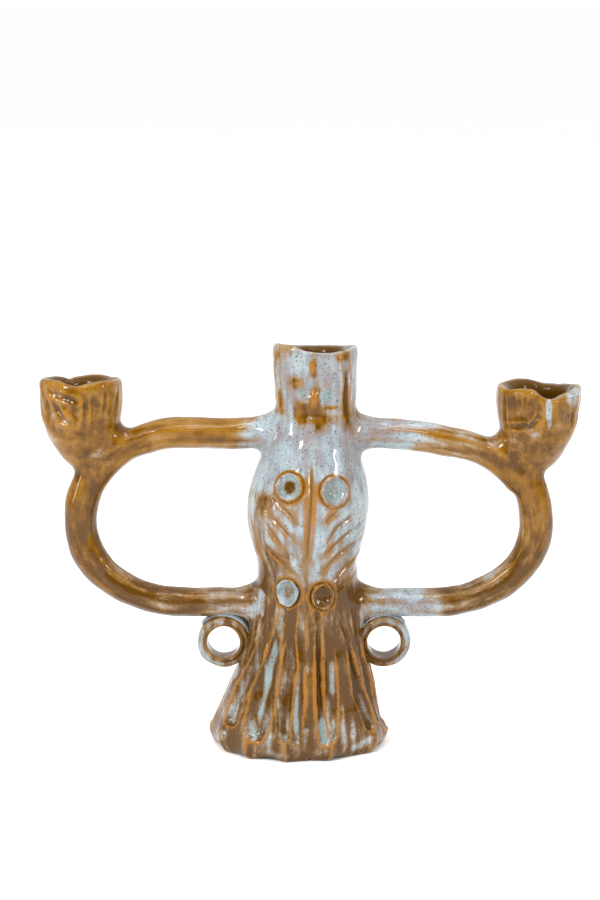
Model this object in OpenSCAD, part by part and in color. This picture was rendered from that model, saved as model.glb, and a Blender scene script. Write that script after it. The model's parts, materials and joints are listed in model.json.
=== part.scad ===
// Three-socket clay candelabra: a hollow figure-like trunk with a fluted skirt, a neck socket and
// two looped arms that carry a candle cup each. Millimetres. The origin is on the table, under
// the middle of the whole piece. +X is towards the right cup, -Y is the carved front, +Z is up.

/* [Skirt] */
// Width of the skirt at its foot
skirt_w = 85; // [80:1:90]
// Depth of the skirt at its foot
skirt_d = 63; // [58:1:70]
// Sideways lean of the foot from the middle of the piece
foot_shift = -5; // [-7:0.5:0]
// Height of the waist seam, where the torso stands on the skirt
waist_z = 88; // [86:1:90]
// Radius of the body at the waist seam
waist_r = 23.4; // [22.5:0.1:24.5]
// Number of scooped flutes round the skirt
flutes = 15; // [11:1:19]
// Depth of a flute at its deepest place
flute_depth = 2.4; // [1:0.1:3]
// Wall of the hollow skirt and torso
wall = 6; // [5:0.5:7]

/* [Torso] */
// How far the torso swells beyond a straight taper
torso_swell = 7; // [5:0.5:8]
// Height of the shoulders, where the neck socket stands
shoulder_z = 158; // [156:1:160]
// Radius of the body at the shoulders
shoulder_r = 19; // [18.5:0.1:20]

/* [Candle sockets] */
// Radius of the three candle bores
candle_r = 12; // [11:0.25:12.5]
// Radius of each socket's flared mouth
mouth_r = 13.4; // [13:0.1:14]
// Height of the neck socket's rim
neck_rim_z = 192; // [188:1:196]
// Sideways place of the neck socket
neck_x = 2.8; // [0:0.2:3]
// Outer radius of the neck socket
neck_r = 18.5; // [18:0.1:19]
// Height of the left cup's rim
left_rim_z = 176.5; // [174:0.5:178]
// Height of the right cup's rim
right_rim_z = 174.5; // [172:0.5:176]
// Sideways distance of each cup from the middle
cup_x = 105.5; // [104:0.5:107]
// Outer radius of a cup at its rim
cup_r = 18.9; // [18.5:0.1:19.5]
// Depth of a cup's bore
cup_depth = 26; // [22:1:28]

/* [Arms] */
// Radius of the clay coil of the upper branches
upper_r = 7.5; // [7:0.1:8]
// Radius of the clay coil of the lower branches
lower_r = 7.7; // [7:0.1:8]
// Height of the upper branches at the shoulders
upper_z = 151.2; // [150:0.2:152]
// Height of the lower branches at the hips
lower_z = 69.7; // [68:0.1:71]

/* [Rings] */
// Outer radius of the two lug rings
ring_r = 12; // [11.5:0.1:12.5]
// Radius of the left ring's hole
left_hole_r = 8; // [7.5:0.1:8.5]
// Radius of the right ring's hole
right_hole_r = 7.7; // [7.5:0.1:8.5]
// Length of a ring along its hole
ring_depth = 13; // [10:0.5:15]
// Height of the ring holes above the table
ring_z = 51.8; // [51:0.1:53]

/* [Hidden] */

$fn = 64;
eps = 0.01;
around = 90;                       // points round a hollow body
body_brown = [0.60, 0.42, 0.20];
pale_blue = [0.68, 0.75, 0.80];
rust = [0.66, 0.38, 0.16];

foot_z = 8;                        // height of the widest part of the foot
foot_round = 3.2;                  // how far the foot draws in below that
flute_top_z = 62;
flute_low_z = 9;
waist_shift = -1;
torso_top_hole_r = 9;
lip_depth = 4;                     // length of the flared mouth of a socket
floor_thick = 6;
neck_bore_z = shoulder_z + floor_thick;
left_ring_x = -40.2;
right_ring_x = 34.4;
strap_thick = 2.6;
strap_depth = 10;
disc_rim = 1.3;                    // how far a disc's rim stands proud of the body

// Half width and half depth of the skirt's smooth envelope at height z
function spread(z) = pow(max(0, (waist_z - max(z, foot_z)) / (waist_z - foot_z)), 1.7);
function foot_tuck(z) = z < foot_z ? foot_round * pow(1 - z / foot_z, 2) : 0;
function skirt_half_w(z) = waist_r + (skirt_w / 2 - waist_r) * spread(z) - foot_tuck(z);
function skirt_half_d(z) = waist_r + (skirt_d / 2 - waist_r) * spread(z) - foot_tuck(z);
function skirt_shift(z) = waist_shift + (foot_shift - waist_shift) * spread(z);

// A flute is scooped in from the envelope, deepest halfway down and gone at both ends
function flute_span(z) = z > flute_low_z && z < flute_top_z
    ? sin(180 * (z - flute_low_z) / (flute_top_z - flute_low_z)) : 0;
function flute_cut(a, z) = flute_depth * flute_span(z) * pow(abs(cos(flutes * a / 2)), 1.5);
function skirt_ring(z, inset, fluted) = [for (i = [0:around - 1])
    let(a = 360 * i / around, cut = inset + (fluted ? flute_cut(a, z) : 0))
    [skirt_shift(z) + (skirt_half_w(z) - cut) * cos(a), (skirt_half_d(z) - cut) * sin(a), z]];

// Outer radius and sideways lean of the torso at height z
function torso_part(z) = (z - waist_z) / (shoulder_z - waist_z);
function torso_radius(z) = waist_r + (shoulder_r - waist_r) * torso_part(z)
    + torso_swell * pow(max(0, sin(180 * pow(torso_part(z), 0.85))), 1.6);
function torso_shift(z) = waist_shift + (neck_x - waist_shift) * pow(torso_part(z), 2.5);
function torso_ring(z, r) = [for (i = [0:around - 1])
    let(a = 360 * i / around) [torso_shift(z) + r * cos(a), r * sin(a), z]];

// A closed skin over rings that run once round a wall's section
module ring_loop(rings) {
    n = len(rings[0]);
    m = len(rings);
    faces = [for (i = [0:m - 1], j = [0:n - 1])
        let(a = i * n + j, b = i * n + (j + 1) % n,
            c = ((i + 1) % m) * n + (j + 1) % n, d = ((i + 1) % m) * n + j)
        each [[a, d, c], [a, c, b]]];
    polyhedron([for (r = rings) each r], faces);
}

// A solid skin over rings from bottom to top, with flat ends
module ring_stack(rings) {
    n = len(rings[0]);
    m = len(rings);
    sides = [for (i = [0:m - 2], j = [0:n - 1])
        let(a = i * n + j, b = i * n + (j + 1) % n, c = (i + 1) * n + (j + 1) % n, d = (i + 1) * n + j)
        each [[a, d, c], [a, c, b]]];
    bottom = [for (j = [0:n - 1]) j];
    top = [for (j = [0:n - 1]) m * n - 1 - j];
    polyhedron([for (r = rings) each r], concat(sides, [bottom, top]));
}

skirt_levels = [0, 2.5, 5, 8, 12, 17, 23, 29, 35, 41, 47, 53, 59, 66, 77, waist_z];
inner_levels = [waist_z, 70, 52, 36, 20, 8, 0];
// The skirt's smooth outside from height low to height high, a little past both
module skirt_envelope(low, high) {
    inside = [for (z = skirt_levels) if (z > low && z < high) z];
    ring_stack([for (z = concat(low, inside, high)) skirt_ring(z, 0, false)]);
}

torso_levels = [for (i = [0:14]) waist_z + (shoulder_z - waist_z) * i / 14];
function torso_hollow_r(z) = min(torso_radius(z) - wall,
    torso_top_hole_r + max(0, shoulder_z - z - wall) * 1.6);
// The top of the torso's outside, where the arms join it
module torso_envelope() {
    ring_stack([for (z = torso_levels) if (z > upper_z - 18) torso_ring(z, torso_radius(z))]);
}

// Where the four pressed discs sit on the front: angle from -Y, height, upward tilt
left_chest = [-20, 130.7, 14];
right_chest = [24, 128.5, 14];
left_waist = [-22, 80.4, -4];
right_waist = [17, 78.9, -4];
module on_torso(place) {
    translate([torso_shift(place[1]), 0, place[1]])
        rotate([0, 0, place[0]])
        translate([0, -torso_radius(place[1]), 0])
        rotate([90 - place[2], 0, 0])
        children();
}
module on_skirt(place) {
    translate([skirt_shift(place[1]), 0, place[1]])
        rotate([0, 0, place[0]])
        translate([0, -skirt_half_d(place[1]), 0])
        rotate([90 - place[2], 0, 0])
        children();
}
seat_r = 7;                        // spherical seat that a disc is pressed into
seat_up = 4.2;
dish_r = 6.3;
dish_up = 5;
module disc_seat() {
    translate([0, 0, seat_up])
        sphere(r = seat_r);
}
module pressed_disc() {
    difference() {
        intersection() {
            disc_seat();
            translate([0, 0, -seat_r])
                cylinder(r = seat_r + 1, h = seat_r + disc_rim);
        }
        translate([0, 0, dish_up])
            sphere(r = dish_r);
    }
}

module skirt() {
    color(body_brown)
    difference() {
        ring_loop(concat([for (z = skirt_levels) skirt_ring(z, 0, true)],
                         [for (z = inner_levels) skirt_ring(z, wall, false)]));
        on_skirt(left_waist) disc_seat();
        on_skirt(right_waist) disc_seat();
    }
}

module torso() {
    color(pale_blue)
    difference() {
        ring_loop(concat([for (z = torso_levels) torso_ring(z, torso_radius(z))],
                         [for (i = [0:14]) let(z = torso_levels[14 - i]) torso_ring(z, torso_hollow_r(z))]));
        on_torso(left_chest) disc_seat();
        on_torso(right_chest) disc_seat();
    }
}

// A bore that runs up to a rim at height rim_z, with a flared mouth
module socket_bore(bottom_z, rim_z) {
    translate([0, 0, bottom_z])
        cylinder(r = candle_r, h = rim_z - bottom_z + 1);
    translate([0, 0, rim_z - lip_depth])
        cylinder(r1 = candle_r, r2 = mouth_r, h = lip_depth + eps);
}

// The neck tube as a solid. sunk carries its foot down into the shoulders, to cut the arms with.
module neck_outside(sunk = 0) {
    translate([neck_x, 0, 0])
        rotate_extrude()
        polygon([[0, shoulder_z - sunk], [shoulder_r - 0.3, shoulder_z - sunk],
                 [neck_r - 0.3, shoulder_z + 14], [neck_r, neck_rim_z - 3],
                 [neck_r - 1.2, neck_rim_z - 0.6], [neck_r - 2.6, neck_rim_z], [0, neck_rim_z]]);
}

// The floor disc is let into the foot of the tube, so it is wider than the bore above it
module neck_floor() {
    color(body_brown)
    translate([neck_x, 0, shoulder_z])
        cylinder(r = candle_r + 2, h = floor_thick);
}

module neck_socket() {
    color(pale_blue)
    difference() {
        neck_outside();
        translate([neck_x, 0, 0]) socket_bore(neck_bore_z, neck_rim_z);
        translate([neck_x, 0, shoulder_z - 1]) cylinder(r = candle_r + 2, h = floor_thick + 1);
    }
}

// The outside of a pinched cup: a rounded cone that opens into a near-cylinder
module cup_outside(rim_z) {
    rotate_extrude()
        polygon([[0, rim_z - 42.5], [4, rim_z - 42], [8, rim_z - 38], [12, rim_z - 31.8],
                 [15.2, rim_z - 26], [17.4, rim_z - 18], [cup_r - 0.5, rim_z - 9],
                 [cup_r, rim_z - 3], [cup_r - 1.2, rim_z - 0.6], [cup_r - 2.6, rim_z], [0, rim_z]]);
}

module cup(side, rim_z) {
    color(body_brown)
    translate([side * cup_x, 0, 0])
    difference() {
        cup_outside(rim_z);
        socket_bore(rim_z - cup_depth, rim_z);
    }
}

// Stations along a coil in the XZ plane: [x, z, heading]. An arc turns left when a1 > a0.
function polar(centre, r, a) = [centre[0] + r * cos(a), centre[1] + r * sin(a)];
function arc_stations(centre, r, a0, a1, steps) = [for (i = [1:steps])
    let(a = a0 + (a1 - a0) * i / steps)
    [each polar(centre, r, a), a1 > a0 ? a + 90 : a - 90]];
coil_sides = 28;
module coil(stations, coil_r) {
    ring_stack([for (s = stations) [for (i = [0:coil_sides - 1])
        let(a = 360 * i / coil_sides)
        [s[0] - coil_r * cos(a) * sin(s[2]), -coil_r * sin(a), s[1] + coil_r * cos(a) * cos(s[2])]]]);
}
module straight(x0, x1, z, coil_r) {
    translate([x0, 0, z])
        rotate([0, 90, 0])
        cylinder(r = coil_r, h = x1 - x0);
}

// Lower branch of a right-hand loop: out from the hip, round the bend and up to the cup.
// bends holds the radii of its three arcs; the first turns through 40 degrees.
first_turn = 40;
module lower_coil(straight_end, bends, last_turn) {
    c1 = [straight_end, lower_z + bends[0]];
    p1 = polar(c1, bends[0], first_turn - 90);
    c2 = polar(p1, -bends[1], first_turn - 90);
    c3 = [c2[0] + bends[1] - bends[2], c2[1]];
    coil(concat([[16, lower_z, 0], [straight_end, lower_z, 0]],
                arc_stations(c1, bends[0], -90, first_turn - 90, 5),
                arc_stations(c2, bends[1], first_turn - 90, 0, 6),
                arc_stations(c3, bends[2], 0, last_turn, 4)), lower_r);
}

module left_lower_coil() {
    mirror([1, 0, 0]) lower_coil(59.5, [55, 34, 45], 34);
}
module right_lower_coil() {
    lower_coil(60.5, [52, 34, 51], 31);
}

// Upper branch of a right-hand loop: out from the shoulder, then down to the cup in two arcs
module upper_coil(start, straight_end, bends, turns) {
    c1 = [straight_end, upper_z - bends[0]];
    p1 = polar(c1, bends[0], 90 - turns[0]);
    c2 = polar(p1, -bends[1], 90 - turns[0]);
    coil(concat([[start, upper_z, 0], [straight_end, upper_z, 0]],
                arc_stations(c1, bends[0], 90, 90 - turns[0], 6),
                arc_stations(c2, bends[1], 90 - turns[0], 90 - turns[1], 5)), upper_r);
}
module left_upper_coil() {
    mirror([1, 0, 0]) upper_coil(12, 59.5, [51, 51], [24, 54]);
}
// The right upper branch droops in a long arc before it turns down
module right_upper_coil() {
    upper_coil(12, 24, [200, 45], [14.3, 56]);
}

module left_upper_branch() {
    color(body_brown)
    difference() {
        left_upper_coil();
        torso_envelope();
        neck_outside(sunk = 6);
        translate([-cup_x, 0, 0]) cup_outside(left_rim_z);
        left_lower_coil();
    }
}
module right_upper_branch() {
    color(body_brown)
    difference() {
        right_upper_coil();
        torso_envelope();
        neck_outside(sunk = 6);
        translate([cup_x, 0, 0]) cup_outside(right_rim_z);
        right_lower_coil();
    }
}
module left_lower_branch() {
    color(body_brown)
    difference() {
        left_lower_coil();
        skirt_envelope(lower_z - 12, waist_z);
        translate([-cup_x, 0, 0]) cup_outside(left_rim_z);
    }
}
module right_lower_branch() {
    color(body_brown)
    difference() {
        right_lower_coil();
        skirt_envelope(lower_z - 12, waist_z);
        translate([cup_x, 0, 0]) cup_outside(right_rim_z);
    }
}
module left_cup() {
    cup(-1, left_rim_z);
}
module right_cup() {
    cup(1, right_rim_z);
}

// A coil of soft clay round the end of a branch, smoothed into a fillet towards the body
fillet_rise = 4.5;
fillet_run = 9;
module fillet_coil(side, face_x, z, coil_r) {
    translate([side * face_x, 0, z])
        rotate([0, side * 90, 0])
        rotate_extrude()
        difference() {
            translate([coil_r, -8])
                square([fillet_rise, 8 + fillet_run]);
            translate([coil_r + fillet_rise, fillet_run])
                scale([fillet_rise, fillet_run])
                circle(r = 1, $fn = 48);
        }
}
left_hip_x = 25.6;
right_hip_x = 23.6;

// A lug ring with its hole along Y, luted under a lower branch against the skirt
module lug_ring(x, hole_r, side) {
    color(pale_blue)
    difference() {
        translate([x, 0, ring_z])
            rotate([90, 0, 0])
            cylinder(r = ring_r, h = ring_depth, center = true);
        translate([x, 0, ring_z])
            rotate([90, 0, 0])
            cylinder(r = hole_r, h = ring_depth + 2, center = true);
        skirt_envelope(ring_z - 18, ring_z + 18);
        straight(side > 0 ? 10 : -59, side > 0 ? 59 : -10, lower_z, lower_r);
        fillet_coil(side, side > 0 ? right_hip_x : left_hip_x, lower_z, lower_r);
    }
}
module left_ring() {
    lug_ring(left_ring_x, left_hole_r, -1);
}
module right_ring() {
    lug_ring(right_ring_x, right_hole_r, 1);
}

// A strap of soft clay over the ring that locks it to the branch and the skirt
module ring_strap(x, side, a0, a1) {
    color(pale_blue)
    difference() {
        translate([x, 0, ring_z])
            rotate([90, 0, 0])
            rotate([0, 0, a0])
            rotate_extrude(angle = a1 - a0)
            translate([ring_r, -strap_depth / 2])
            square([strap_thick, strap_depth]);
        skirt_envelope(ring_z - 18, ring_z + 18);
        straight(side > 0 ? 10 : -59, side > 0 ? 59 : -10, lower_z, lower_r);
        fillet_coil(side, side > 0 ? right_hip_x : left_hip_x, lower_z, lower_r);
    }
}
module left_ring_strap() {
    ring_strap(left_ring_x, -1, -28, 140);
}
module right_ring_strap() {
    ring_strap(right_ring_x, 1, 40, 208);
}

module shoulder_coil(side, face_x) {
    color(pale_blue)
    difference() {
        fillet_coil(side, face_x, upper_z, upper_r);
        torso_envelope();
        neck_outside(sunk = 6);
    }
}
module hip_coil(side, face_x) {
    color(rust)
    difference() {
        fillet_coil(side, face_x, lower_z, lower_r);
        skirt_envelope(lower_z - 14, waist_z);
    }
}
module left_shoulder_coil() {
    shoulder_coil(-1, 17);
}
module right_shoulder_coil() {
    shoulder_coil(1, 21);
}
module left_hip_coil() {
    hip_coil(-1, left_hip_x);
}
module right_hip_coil() {
    hip_coil(1, right_hip_x);
}

module left_chest_disc() {
    color(pale_blue) on_torso(left_chest) pressed_disc();
}
module right_chest_disc() {
    color(pale_blue) on_torso(right_chest) pressed_disc();
}
module left_waist_disc() {
    color(pale_blue) on_skirt(left_waist) pressed_disc();
}
module right_waist_disc() {
    color(body_brown) on_skirt(right_waist) pressed_disc();
}

skirt();
torso();
neck_socket();
neck_floor();
left_upper_branch();
right_upper_branch();
left_lower_branch();
right_lower_branch();
left_cup();
right_cup();
left_ring();
right_ring();
left_ring_strap();
right_ring_strap();
left_shoulder_coil();
right_shoulder_coil();
left_hip_coil();
right_hip_coil();
left_chest_disc();
right_chest_disc();
left_waist_disc();
right_waist_disc();
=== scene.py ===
import json
import math
import bmesh
import bpy
import numpy as np
from mathutils import Matrix, Vector, noise


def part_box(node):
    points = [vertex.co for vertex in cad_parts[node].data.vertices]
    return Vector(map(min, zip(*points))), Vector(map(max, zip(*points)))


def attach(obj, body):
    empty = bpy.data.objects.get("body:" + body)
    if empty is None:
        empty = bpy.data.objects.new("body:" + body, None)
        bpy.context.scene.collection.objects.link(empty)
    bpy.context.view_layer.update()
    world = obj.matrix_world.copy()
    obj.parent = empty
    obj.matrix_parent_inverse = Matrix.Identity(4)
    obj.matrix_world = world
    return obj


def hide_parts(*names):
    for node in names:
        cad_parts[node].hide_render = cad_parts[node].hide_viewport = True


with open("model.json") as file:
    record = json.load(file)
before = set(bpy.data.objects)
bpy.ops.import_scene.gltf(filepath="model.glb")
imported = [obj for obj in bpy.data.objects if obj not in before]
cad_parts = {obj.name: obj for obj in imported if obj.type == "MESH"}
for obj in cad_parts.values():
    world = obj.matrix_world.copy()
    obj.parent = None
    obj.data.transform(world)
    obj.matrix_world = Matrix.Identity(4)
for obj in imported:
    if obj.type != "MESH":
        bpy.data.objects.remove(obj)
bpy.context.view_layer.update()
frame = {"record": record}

mm = 0.001

# The trunk: skirt, torso and neck tube as one hollow body, turned about Z

trunk = {
    "wall": 6 * mm,
    "footTuck": 3.2 * mm,      # how far the foot draws in at the table
    "swell": 7 * mm,           # belly of the torso beyond a straight taper
    "flare": 1.7,              # how late the skirt flares
    "turns": 160,
}
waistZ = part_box("torso")[0].z
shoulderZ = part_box("neck_socket")[0].z
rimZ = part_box("neck_socket")[1].z
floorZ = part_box("neck_floor")[1].z
skirtLow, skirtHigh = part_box("skirt")
neckLow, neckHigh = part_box("neck_socket")
footHalfWidth = (skirtHigh.x - skirtLow.x) / 2
footHalfDepth = (skirtHigh.y - skirtLow.y) / 2
footLean = (skirtHigh.x + skirtLow.x) / 2
neckLean = (neckHigh.x + neckLow.x) / 2
footZ = 8 * mm
waistR = 23.4 * mm
waistLean = -1 * mm
shoulderR = 19 * mm
neckR = 18.5 * mm
boreR = 12 * mm


def spread(z):
    part = np.clip((waistZ - np.maximum(z, footZ)) / (waistZ - footZ), 0, 1)
    return part ** trunk["flare"]


def torsoPart(z):
    return np.clip((z - waistZ) / (shoulderZ - waistZ), 0, 1)


def trunkHalfWidth(z):
    z = np.asarray(z, float)
    tuck = trunk["footTuck"] * np.clip(1 - z / footZ, 0, 1) ** 2
    skirt = waistR + (footHalfWidth - waistR) * spread(z) - tuck
    part = torsoPart(z)
    belly = np.clip(np.sin(math.pi * part ** 0.85), 0, 1) ** 1.6
    torso = waistR + (shoulderR - waistR) * part + trunk["swell"] * belly
    neck = shoulderR + (neckR - shoulderR) * np.clip((z - shoulderZ) / (14 * mm), 0, 1)
    return np.where(z < waistZ, skirt, np.where(z < shoulderZ, torso, neck))


def trunkHalfDepth(z):
    z = np.asarray(z, float)
    flatter = (footHalfWidth - footHalfDepth) * spread(z)
    return trunkHalfWidth(z) - np.where(z < waistZ, flatter, 0)


def trunkLean(z):
    z = np.asarray(z, float)
    skirt = waistLean + (footLean - waistLean) * spread(z)
    torso = waistLean + (neckLean - waistLean) * torsoPart(z) ** 2.5
    return np.where(z < waistZ, skirt, torso)


def frontPoint(x, z):
    # the place on the front of the trunk at x and z, both in millimetres
    x, z = x * mm, z * mm
    across = (x - float(trunkLean(z))) / float(trunkHalfWidth(z))
    across = max(-0.999, min(0.999, across))
    return (x, -float(trunkHalfDepth(z)) * math.sqrt(1 - across * across), z)


def turnProfile(bm, outline, steps):
    # an outline of (radius, height) from axis to axis, turned full circle
    verts = [bm.verts.new((r, 0, z)) for r, z in outline]
    edges = [bm.edges.new(pair) for pair in zip(verts, verts[1:])]
    bmesh.ops.spin(bm, geom=verts + edges, cent=(0, 0, 0), axis=(0, 0, 1),
                   angle=2 * math.pi, steps=steps, use_merge=True)
    bmesh.ops.remove_doubles(bm, verts=bm.verts, dist=1e-6)
    bmesh.ops.recalc_face_normals(bm, faces=bm.faces)


def meshFrom(bm, name):
    mesh = bpy.data.meshes.new(name)
    bm.to_mesh(mesh)
    bm.free()
    return mesh


def trunkMesh():
    bm = bmesh.new()
    outer = [(float(trunkHalfWidth(z)), z) for z in np.linspace(0, rimZ - 3 * mm, 90)]
    inner = [(float(trunkHalfWidth(z)) - trunk["wall"], z) for z in np.linspace(0, shoulderZ - 14 * mm, 50)]
    cavityTop = [(11 * mm, shoulderZ - 8 * mm), (5 * mm, shoulderZ - 5 * mm), (0, shoulderZ - 4.6 * mm)]
    lip = [(neckR - 0.5 * mm, rimZ - 0.8 * mm), (neckR - 1.6 * mm, rimZ), (15 * mm, rimZ - 0.6 * mm)]
    bore = [(13.2 * mm, rimZ - 3.2 * mm), (boreR + 0.3 * mm, rimZ - 6 * mm), (boreR, floorZ + 1 * mm),
            (boreR - 1.5 * mm, floorZ - 0.7 * mm), (0, floorZ - 0.7 * mm)]
    outline = cavityTop[::-1] + inner[::-1] + outer + lip + bore
    turnProfile(bm, outline, trunk["turns"])
    for v in bm.verts:
        z = v.co.z
        depthRatio = float(trunkHalfDepth(z) / trunkHalfWidth(z))
        v.co.x += float(trunkLean(z))
        v.co.y *= depthRatio
    return meshFrom(bm, "trunk")


cups = {"left": {"node": "left_cup"}, "right": {"node": "right_cup"}}
# A cup's outline, outside and inside: radius and drop below the rim, in millimetres
cupOutside = [(4, 42.5), (8.3, 38.5), (12.8, 31.5), (16.0, 25.5), (18.0, 17.5), (18.7, 9), (18.9, 2.6),
              (18.3, 0.7), (17.1, 0)]
cupInside = [(15.3, 0.6), (13.4, 3.2), (12.2, 6.5), (12, 25), (10, 26), (0, 26)]


def cupAxis(cup):
    low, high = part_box(cup["node"])
    return (low.x + high.x) / 2, high.z


def cupMesh(cup):
    bm = bmesh.new()
    x, rim = cupAxis(cup)
    outline = [(0, 42.5)] + cupOutside + cupInside
    turnProfile(bm, [(r * mm, rim - drop * mm) for r, drop in outline], 96)
    bmesh.ops.translate(bm, vec=(x, 0, 0), verts=bm.verts)
    return meshFrom(bm, cup["node"])


# The arms: clay coils swept along straight stretches and arcs in the XZ plane

arms = {
    "left": {"side": -1, "straight": 59.5, "bends": [55, 34, 45], "lastTurn": 34,
             "upperStraight": 59.5, "upperBends": [51, 51], "upperTurns": [24, 54]},
    "right": {"side": 1, "straight": 60.5, "bends": [52, 34, 51], "lastTurn": 31,
              "upperStraight": 24, "upperBends": [200, 45], "upperTurns": [14.3, 56]},
}
lowerZ = 69.7
upperZ = 151.2
lowerR = [7.2, 7.2, 8.1, 8.1]    # thickness of a lower coil from hip to cup
upperR = [7.6, 7.5, 7.4, 8.0]    # and of an upper coil from shoulder to cup
firstTurn = 40


def polar(centre, r, degrees):
    a = math.radians(degrees)
    return (centre[0] + r * math.cos(a), centre[1] + r * math.sin(a))


def arc(centre, r, a0, a1, steps):
    turn = 90 if a1 > a0 else -90
    angles = [a0 + (a1 - a0) * i / steps for i in range(1, steps + 1)]
    return [(*polar(centre, r, a), a + turn) for a in angles]


def straightRun(x0, x1, z, steps):
    return [(x0 + (x1 - x0) * i / steps, z, 0) for i in range(steps + 1)]


def lowerPath(arm):
    r1, r2, r3 = arm["bends"]
    c1 = (arm["straight"], lowerZ + r1)
    p1 = polar(c1, r1, firstTurn - 90)
    c2 = polar(p1, -r2, firstTurn - 90)
    c3 = (c2[0] + r2 - r3, c2[1])
    return (straightRun(21, arm["straight"], lowerZ, 12) + arc(c1, r1, -90, firstTurn - 90, 12)
            + arc(c2, r2, firstTurn - 90, 0, 12) + arc(c3, r3, 0, arm["lastTurn"], 8))


def upperPath(arm):
    r1, r2 = arm["upperBends"]
    t1, t2 = arm["upperTurns"]
    c1 = (arm["upperStraight"], upperZ - r1)
    p1 = polar(c1, r1, 90 - t1)
    c2 = polar(p1, -r2, 90 - t1)
    return (straightRun(15, arm["upperStraight"], upperZ, 8) + arc(c1, r1, 90, 90 - t1, 12)
            + arc(c2, r2, 90 - t1, 90 - t2, 10))


def stationFrame(station, side, radius):
    x, z, heading = station
    a = math.radians(heading)
    along = Vector((side * math.cos(a), 0, math.sin(a)))
    across = Vector((0, 1, 0))
    up = along.cross(across)
    turn = Matrix((along, across, up)).transposed().to_4x4()
    return Matrix.Translation((side * x * mm, 0, z * mm)) @ turn @ Matrix.Scale(radius * mm, 4)


def sweep(bm, frames, segments):
    # a closed tube whose sections are unit circles set in each frame in turn
    onEdge = Matrix.Rotation(math.pi / 2, 4, "Y")
    bmesh.ops.create_circle(bm, segments=segments, radius=1, matrix=frames[0] @ onEdge)
    ring = list(bm.edges)
    for before, after in zip(frames, frames[1:]):
        made = bmesh.ops.extrude_edge_only(bm, edges=ring)["geom"]
        old = {v for e in ring for v in e.verts}
        fresh = {g for g in made if isinstance(g, bmesh.types.BMVert) and g not in old}
        bmesh.ops.transform(bm, matrix=after @ before.inverted(), verts=list(fresh))
        ring = [g for g in made if isinstance(g, bmesh.types.BMEdge) and set(g.verts) <= fresh]
    bmesh.ops.holes_fill(bm, edges=bm.edges, sides=0)
    bmesh.ops.recalc_face_normals(bm, faces=bm.faces)


def coilMesh(path, side, radii, name):
    bm = bmesh.new()
    count = len(path)
    thick = np.interp(np.linspace(0, 1, count), np.linspace(0, 1, len(radii)), radii)
    sweep(bm, [stationFrame(s, side, r) for s, r in zip(path, thick)], 32)
    return meshFrom(bm, name)


fillets = [  # soft coils at the arm roots: side, x at the body, height, coil radius, rise, run
    (-1, 17, upperZ, 7.6, 4.6, 10), (1, 20, upperZ, 7.6, 4.6, 10),
    (-1, 24.5, lowerZ, 7.2, 5.0, 10), (1, 22.5, lowerZ, 7.2, 5.0, 10),
]


def filletMesh(side, x, z, coilR, rise, run):
    bm = bmesh.new()
    turn = Matrix.Rotation(side * math.pi / 2, 4, "Y")
    place = Matrix.Translation((side * (x + run / 2 - 3) * mm, 0, z * mm))
    bmesh.ops.create_cone(bm, cap_ends=True, segments=40, radius1=(coilR + rise) * mm,
                          radius2=(coilR - 0.4) * mm, depth=(run + 6) * mm, matrix=place @ turn)
    return meshFrom(bm, "fillet")


# Lumps pressed into the corner between an upper arm and its cup: centre and radius
lumps = [(-90, 0, 146.3, 9.3), (91, 0, 142.8, 9.3)]


def lumpMesh(x, y, z, radius):
    bm = bmesh.new()
    bmesh.ops.create_uvsphere(bm, u_segments=40, v_segments=24, radius=radius * mm,
                              matrix=Matrix.Translation((x * mm, y * mm, z * mm)))
    return meshFrom(bm, "lump")


skinSettings = {"voxel": 0.75 * mm, "smooth": 5}


def linked(mesh, name):
    piece = bpy.data.objects.new(name, mesh)
    bpy.context.scene.collection.objects.link(piece)
    return piece


def clayMesh():
    bm = bmesh.new()
    parts = [trunkMesh(), cupMesh(cups["left"]), cupMesh(cups["right"])]
    for name, arm in arms.items():
        parts.append(coilMesh(lowerPath(arm), arm["side"], lowerR, name + "Lower"))
        parts.append(coilMesh(upperPath(arm), arm["side"], upperR, name + "Upper"))
    parts += [filletMesh(*f) for f in fillets] + [lumpMesh(*lump) for lump in lumps]
    for part in parts:
        bm.from_mesh(part)
        bpy.data.meshes.remove(part)
    piece = linked(meshFrom(bm, "rawClay"), "rawClay")
    remesh = piece.modifiers.new("skin", "REMESH")
    remesh.mode = "VOXEL"
    remesh.voxel_size = skinSettings["voxel"]
    graph = bpy.context.evaluated_depsgraph_get()
    mesh = bpy.data.meshes.new_from_object(piece.evaluated_get(graph))
    bpy.data.objects.remove(piece)
    return mesh


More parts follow.
